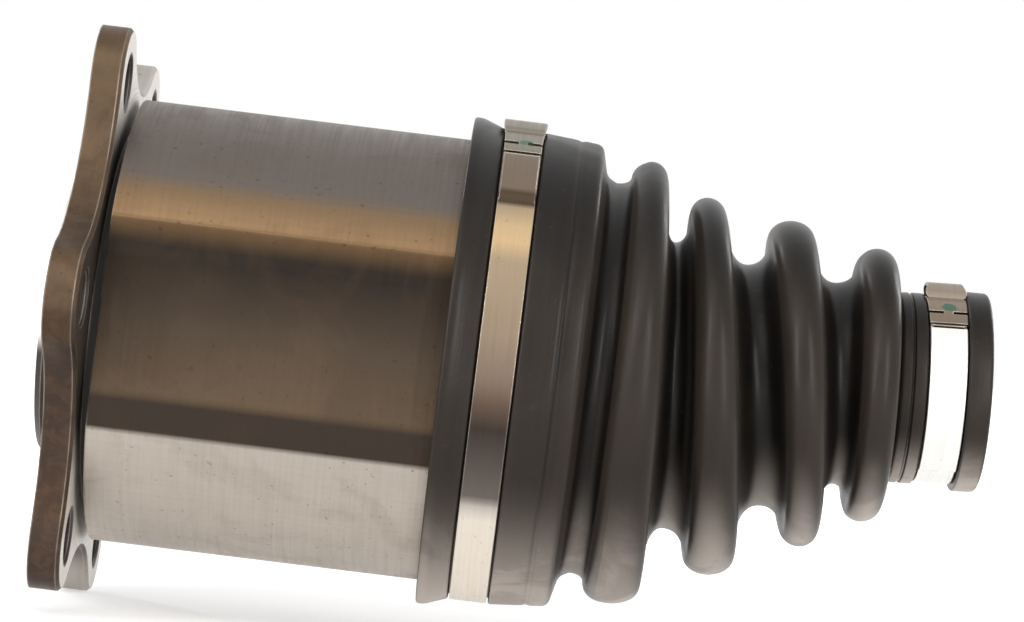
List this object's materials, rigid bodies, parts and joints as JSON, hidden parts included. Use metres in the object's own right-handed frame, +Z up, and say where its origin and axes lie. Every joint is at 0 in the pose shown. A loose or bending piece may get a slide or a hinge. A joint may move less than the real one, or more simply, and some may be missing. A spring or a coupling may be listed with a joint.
{
  "type": "drive shaft",
  "caption": "Inboard end of a drive shaft: a flanged tripod joint whose rollers slide in a tulip housing, closed by a clamped bellows boot.",
  "frame": {"origin": "centre of the flange's bolt circle, on the face that bolts to the gearbox's output flange", "axes": "+X along the tulip's axis from the flange towards the boot and the bar, +Z up as the joint lies in the picture, with the bar tilted 3 degrees upwards in the joint"},
  "size_m": [0.1821, 0.1204, 0.111],
  "materials": {
    "machined_forging": "turned and milled, lightly oiled",
    "pressed_cap": "zinc plated, dull",
    "bearing_steel": "hardened and ground",
    "spring_steel": "phosphated, oiled",
    "bar_steel": "turned, induction hardened",
    "boot_rubber": "satin moulded rubber",
    "clamp_steel": "bright stainless strip"
  },
  "bodies": {
    "tulip": {"tulip_housing": "machined_forging", "grease_cap": "pressed_cap", "large_clamp": "clamp_steel"},
    "boot": {"boot": "boot_rubber"},
    "first_trunnion_bearing": {"needles_1": "bearing_steel"},
    "shaft": {"shaft": "bar_steel", "spider": "bearing_steel", "outer_circlip": "spring_steel", "inner_circlip": "spring_steel", "retaining_washer_1": "bearing_steel", "retaining_washer_2": "bearing_steel", "retaining_washer_3": "bearing_steel", "snap_ring_1": "spring_steel", "snap_ring_2": "spring_steel", "snap_ring_3": "spring_steel", "needles_2": "bearing_steel", "needles_3": "bearing_steel", "small_clamp": "clamp_steel"},
    "roller_1": {"roller_1": "bearing_steel"},
    "roller_2": {"roller_2": "bearing_steel"},
    "roller_3": {"roller_3": "bearing_steel"}
  },
  "joints": [
    {"name": "plunge", "type": "slide", "parent": "tulip", "child": "boot", "axis": [1, 0, 0], "range_m": [-0.01, 0.01], "stiffness_N_per_m": 1500, "deforming": ["boot"]},
    {"name": "swing_across", "type": "hinge", "parent": "boot", "child": "first_trunnion_bearing", "pos_m": [0.056, 0, 0], "axis": [0, 0, 1], "range_deg": [-12, 12], "stiffness_Nm_per_rad": 6, "deforming": ["boot"]},
    {"name": "swing_up_down", "type": "hinge", "parent": "first_trunnion_bearing", "child": "shaft", "pos_m": [0.056, 0, 0], "axis": [0, 1, 0], "range_deg": [-9, 15], "stiffness_Nm_per_rad": 6, "springref_deg": -2.58, "deforming": ["boot"]},
    {"name": "roller_1_spin", "type": "hinge", "parent": "first_trunnion_bearing", "child": "roller_1", "pos_m": [0.056, 0, 0], "axis": [0, 1, 0], "continuous": true},
    {"name": "roller_2_spin", "type": "hinge", "parent": "shaft", "child": "roller_2", "pos_m": [0.056, 0, 0], "axis": [-0.0453, -0.5, 0.8648], "continuous": true},
    {"name": "roller_3_spin", "type": "hinge", "parent": "shaft", "child": "roller_3", "pos_m": [0.056, 0, 0], "axis": [0.0453, -0.5, -0.8648], "continuous": true}
  ]
}
